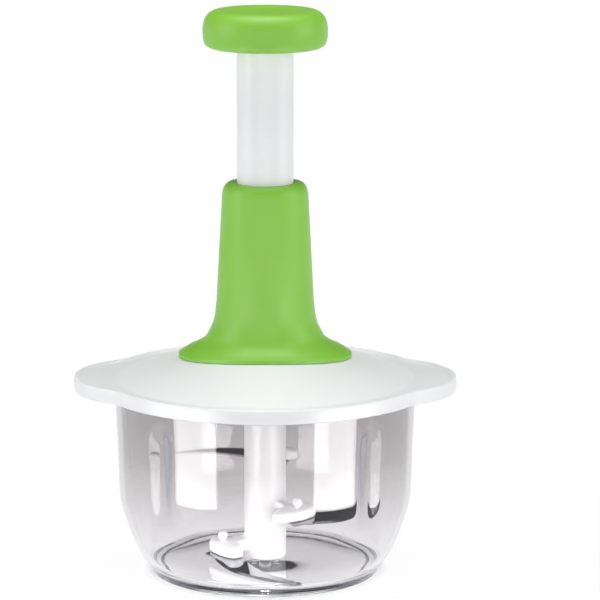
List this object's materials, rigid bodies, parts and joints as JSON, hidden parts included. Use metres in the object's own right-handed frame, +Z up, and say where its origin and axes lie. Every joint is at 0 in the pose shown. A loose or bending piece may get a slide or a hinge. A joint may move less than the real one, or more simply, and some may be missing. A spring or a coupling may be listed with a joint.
{
  "type": "manual food chopper",
  "caption": "Press-down food chopper: a knob on a tube spins curved blades in a clear bowl through a spiral drive in the lid.",
  "frame": {"origin": "on the table under the middle of the bowl's foot ring", "axes": "+Z up along the plunger's and the blades' axis; +X towards one ear of the lid; -Y is the front"},
  "size_m": [0.1614, 0.1392, 0.238],
  "materials": {
    "clear_styrene": "clear moulded plastic, polished",
    "white_polypropylene": "moulded, soft gloss",
    "green_abs": "moulded, satin gloss",
    "milky_tube": "milky, slightly see-through",
    "natural_acetal": "natural, unpainted",
    "white_silicone": "matt",
    "blade_steel": "polished stainless steel",
    "plain_steel": "zinc-plated"
  },
  "bodies": {
    "base": {"bowl": "clear_styrene", "pivot_pin": "blade_steel"},
    "lid": {"lid": "white_polypropylene", "lid_gasket": "white_silicone", "column": "green_abs", "guide_bush": "natural_acetal", "gearbox_cover": "white_polypropylene", "cover_screw_1": "plain_steel", "cover_screw_2": "plain_steel", "cover_screw_3": "plain_steel", "cover_screw_4": "plain_steel", "column_screw_1": "plain_steel", "column_screw_2": "plain_steel", "return_spring": "plain_steel"},
    "plunger": {"knob": "green_abs", "knob_base": "green_abs", "knob_screw_1": "plain_steel", "knob_screw_2": "plain_steel", "knob_screw_3": "plain_steel", "plunger_tube": "milky_tube", "spiral_rod": "plain_steel", "rod_pin": "blade_steel"},
    "drive": {"spiral_nut": "natural_acetal", "drive_hub": "white_polypropylene", "thrust_washer": "plain_steel", "retaining_clip": "plain_steel"},
    "blades": {"blade_shaft": "white_polypropylene", "shaft_bush": "natural_acetal", "blade_lower": "blade_steel", "blade_middle": "blade_steel", "blade_upper": "blade_steel", "blade_peg_lower": "white_polypropylene", "blade_peg_middle": "white_polypropylene", "blade_peg_upper": "white_polypropylene"}
  },
  "joints": [
    {"name": "lid_lift", "type": "slide", "parent": "base", "child": "lid", "axis": [0, 0, 1], "range_m": [0, 0.15]},
    {"name": "plunger_slide", "type": "slide", "parent": "lid", "child": "plunger", "axis": [0, 0, -1], "range_m": [0, 0.05], "stiffness_N_per_m": 350, "springref_m": -0.02, "deforming": ["return_spring"]},
    {"name": "drive_spin", "type": "hinge", "parent": "lid", "child": "drive", "pos_m": [0, 0, 0.08], "axis": [0, 0, 1], "range_deg": [0, 301]},
    {"name": "blade_spin", "type": "hinge", "parent": "base", "child": "blades", "pos_m": [0, 0, 0.02], "axis": [0, 0, 1], "range_deg": [0, 301]}
  ],
  "couplings": [
    {"joint": "drive_spin", "follows": "plunger_slide", "rad_per_m": 104.72},
    {"joint": "blade_spin", "follows": "plunger_slide", "rad_per_m": 104.72}
  ]
}
